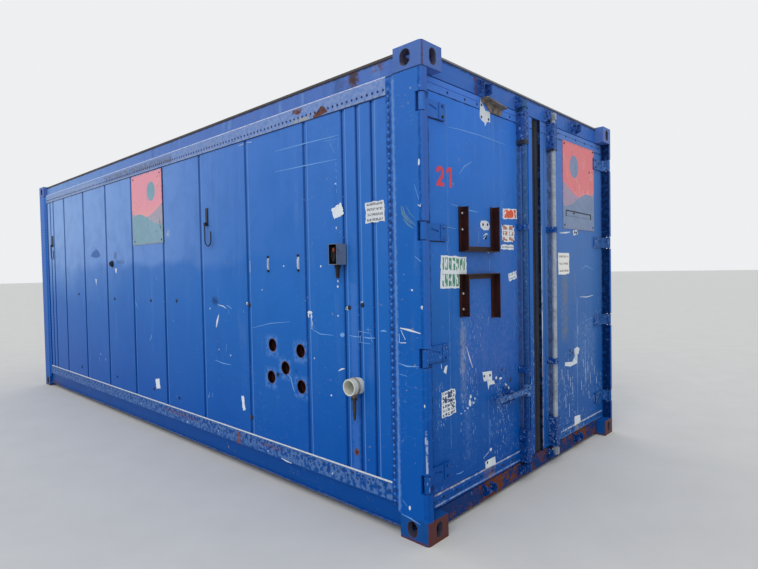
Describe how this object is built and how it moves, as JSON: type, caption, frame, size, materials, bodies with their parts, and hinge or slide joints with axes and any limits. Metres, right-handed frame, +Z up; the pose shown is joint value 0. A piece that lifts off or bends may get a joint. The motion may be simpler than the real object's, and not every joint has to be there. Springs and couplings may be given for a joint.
{
  "type": "insulated shipping container cabin",
  "caption": "Insulated steel container cabin with corner fittings, a flat metal floor and two swing doors with lock rods.",
  "frame": {"origin": "on the ground, midway between the four lower corner fittings", "axes": "+X towards the door end along the length, +Y across the width, +Z up"},
  "size_m": [6.058, 2.494, 2.438],
  "materials": {
    "frame_paint": "weathered satin blue",
    "wall_paint": "faded blue",
    "door_paint": "faded blue",
    "rusty_sill": "rusted",
    "roof_metal": "dull grey",
    "lining": "dull white",
    "floor_metal": "worn",
    "pin_steel": "rusted",
    "seal_rubber": "matt",
    "rod_paint": "worn",
    "rod_zinc": "dull zinc",
    "box_grey": "worn grey",
    "black_trim": "matt",
    "dark_iron": "dark and worn",
    "white_plastic": "dull white",
    "placard_print": "printed sheet",
    "bare_trim": "dull",
    "rack_iron": "dark brown"
  },
  "bodies": {
    "cabin": {"bottom_corner_fittings": "frame_paint", "top_corner_fittings": "frame_paint", "door_end_posts": "frame_paint", "closed_end_posts": "frame_paint", "door_header": "frame_paint", "door_sill": "rusty_sill", "closed_end_rails": "frame_paint", "top_side_rails": "frame_paint", "bottom_side_rails": "frame_paint", "roof_panel": "roof_metal", "roof_lining": "lining", "left_wall": "wall_paint", "hose_panel": "wall_paint", "left_wall_end_panel": "wall_paint", "right_wall": "wall_paint", "end_wall": "wall_paint", "floor_deck": "floor_metal", "floor_crossmembers": "frame_paint", "hinge_pins": "pin_steel", "cam_keepers": "frame_paint", "junction_box": "box_grey", "cable_gland": "black_trim", "wall_hooks": "dark_iron", "drain_pipe": "white_plastic", "pipe_clamp": "black_trim", "pipe_coupling": "dark_iron", "side_placard": "placard_print", "wall_latches": "bare_trim"},
    "left_door": {"left_door_leaf": "door_paint", "left_door_seal": "seal_rubber", "left_hinge_blades": "frame_paint", "left_rod_guides": "frame_paint", "angle_racks": "rack_iron", "bent_bracket": "rack_iron", "handle_catch": "frame_paint"},
    "right_door": {"right_door_leaf": "door_paint", "right_door_seal": "seal_rubber", "right_hinge_blades": "frame_paint", "right_rod_guides": "frame_paint", "door_placard": "placard_print"},
    "left_rod": {"left_lock_rod": "rod_paint", "left_lock_handle": "rod_paint"},
    "right_rod": {"right_lock_rod": "rod_zinc"}
  },
  "joints": [
    {"name": "left_door_swing", "type": "hinge", "parent": "cabin", "child": "left_door", "pos_m": [3.011, -1.199, 1.2265], "axis": [0, 0, -1], "range_deg": [0, 248]},
    {"name": "right_door_swing", "type": "hinge", "parent": "cabin", "child": "right_door", "pos_m": [3.011, 1.199, 1.2265], "axis": [0, 0, 1], "range_deg": [0, 262]},
    {"name": "left_rod_turn", "type": "hinge", "parent": "left_door", "child": "left_rod", "pos_m": [2.998, -0.166, 1.2], "axis": [0, 0, 1], "range_deg": [0, 100]},
    {"name": "right_rod_turn", "type": "hinge", "parent": "right_door", "child": "right_rod", "pos_m": [2.998, 0.235, 1.2], "axis": [0, 0, 1], "range_deg": [0, 100]}
  ]
}
